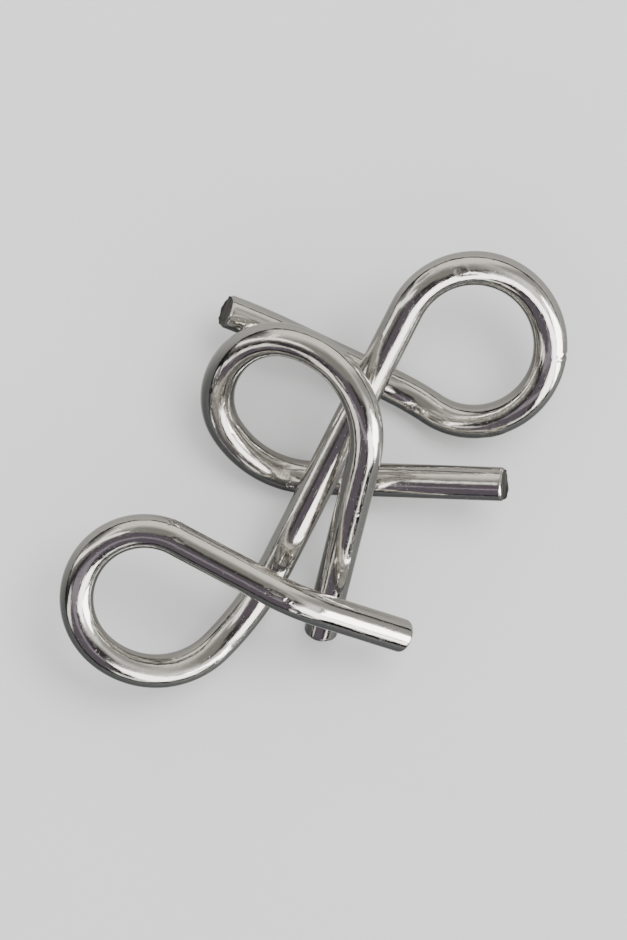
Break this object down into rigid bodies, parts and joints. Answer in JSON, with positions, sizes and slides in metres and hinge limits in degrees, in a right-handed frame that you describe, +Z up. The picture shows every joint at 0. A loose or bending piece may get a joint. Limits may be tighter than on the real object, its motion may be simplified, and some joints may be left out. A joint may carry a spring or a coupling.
{
  "type": "bent-wire disentanglement puzzle",
  "caption": "Linked bent-wire disentanglement puzzle: a wire with opposite end loops on a straight shaft, and a smaller one-loop wire threaded round that shaft.",
  "frame": {"origin": "bottom centre of the linked pair's bounding box, on the plane it rests on", "axes": "+X along the longest side, from the double loop's lower loop to its upper loop as the pair lies flat; +Y across it, up the shaft; +Z up, away from the resting plane"},
  "size_m": [0.0446, 0.039, 0.0147],
  "materials": {
    "nickel_plate_large": "polished",
    "nickel_plate_small": "polished"
  },
  "bodies": {
    "double_loop": {"double_loop_wire": "nickel_plate_large"},
    "single_loop": {"single_loop_wire": "nickel_plate_small"}
  },
  "joints": [
    {"name": "swing_round_shaft", "type": "hinge", "parent": "double_loop", "child": "single_loop", "pos_m": [0.00251, 0.00305, 0.0078], "axis": [0.4241, 0.8752, 0.2328], "range_deg": [-8, 134]}
  ]
}
